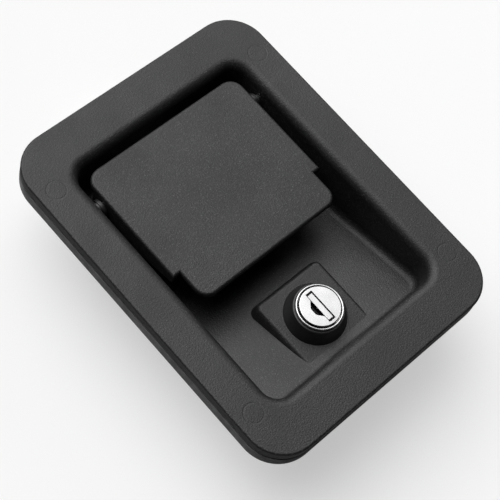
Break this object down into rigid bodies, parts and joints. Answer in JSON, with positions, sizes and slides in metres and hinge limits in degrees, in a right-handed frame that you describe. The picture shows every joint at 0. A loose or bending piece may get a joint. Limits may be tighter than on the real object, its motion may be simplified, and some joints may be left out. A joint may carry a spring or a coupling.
{
  "type": "compression latch",
  "caption": "Flush paddle latch: flanged dish with gasket, pull paddle on a sprung pin driving a hook arm with roller, and a key lock that slides a blocking plate.",
  "frame": {"origin": "middle of the mounting stud pattern in the panel seat plane, the underside of the gasket", "axes": "+Z out of the door through the paddle's face, +Y along the flange towards the hinge end, +X across"},
  "size_m": [0.1078, 0.1484, 0.0385],
  "materials": {
    "black_powder": "fine-textured matt black powder coat on a zinc casting and pressed steel",
    "gasket_rubber": "matt black cellular rubber",
    "zinc_steel": "bright zinc plate",
    "spring_steel": "drawn wire",
    "lock_case": "nickel-plated zinc casting",
    "sleeve_black": "smooth black moulding",
    "bright_chrome": "bright satin chrome",
    "nylon": "natural white nylon"
  },
  "bodies": {
    "housing": {"housing": "black_powder", "flange_gasket": "gasket_rubber", "mounting_studs": "zinc_steel", "pivot_pin": "zinc_steel", "pivot_clips": "zinc_steel", "pivot_spacers": "sleeve_black", "torsion_springs": "spring_steel", "lock_sleeve": "sleeve_black", "lock_trim_ring": "bright_chrome", "lock_barrel": "lock_case", "lock_washer": "zinc_steel", "lock_nut": "zinc_steel", "guide_screws": "zinc_steel"},
    "paddle": {"paddle": "black_powder", "lever_bracket": "zinc_steel", "bracket_washers": "zinc_steel", "bracket_nuts": "zinc_steel", "latch_hook": "zinc_steel", "hook_bolts": "zinc_steel", "hook_washers": "zinc_steel", "hook_nuts": "zinc_steel", "roller_pin": "zinc_steel"},
    "roller": {"tip_roller": "nylon"},
    "plug": {"lock_plug": "bright_chrome", "lock_cam": "zinc_steel", "crank_pin": "zinc_steel", "cam_washer": "zinc_steel", "cam_screw": "zinc_steel"},
    "shutter": {"key_shutter": "bright_chrome"},
    "plate": {"lock_plate": "zinc_steel"}
  },
  "joints": [
    {"name": "paddle_hinge", "type": "hinge", "parent": "housing", "child": "paddle", "pos_m": [0, 0.039, 0.0003], "axis": [-1, 0, 0], "range_deg": [0, 55], "stiffness_Nm_per_rad": 0.15, "springref_deg": -51.57, "deforming": ["torsion_springs"]},
    {"name": "roller_spin", "type": "hinge", "parent": "paddle", "child": "roller", "pos_m": [0, 0.072, -0.0225], "axis": [1, 0, 0], "continuous": true},
    {"name": "plug_turn", "type": "hinge", "parent": "housing", "child": "plug", "pos_m": [0, -0.0356, 0.0026], "axis": [0, 0, 1], "range_deg": [0, 90]},
    {"name": "plate_slide", "type": "slide", "parent": "housing", "child": "plate", "axis": [0, 1, 0], "range_m": [0, 0.01556]},
    {"name": "shutter_swing", "type": "hinge", "parent": "plug", "child": "shutter", "pos_m": [0.00075, -0.0356, 0.0021], "axis": [0, -1, 0], "range_deg": [0, 80], "stiffness_Nm_per_rad": 0.0004, "springref_deg": -28.65}
  ],
  "couplings": [
    {"joint": "plug_turn", "follows": "plate_slide", "rad_per_m": 100.92}
  ]
}
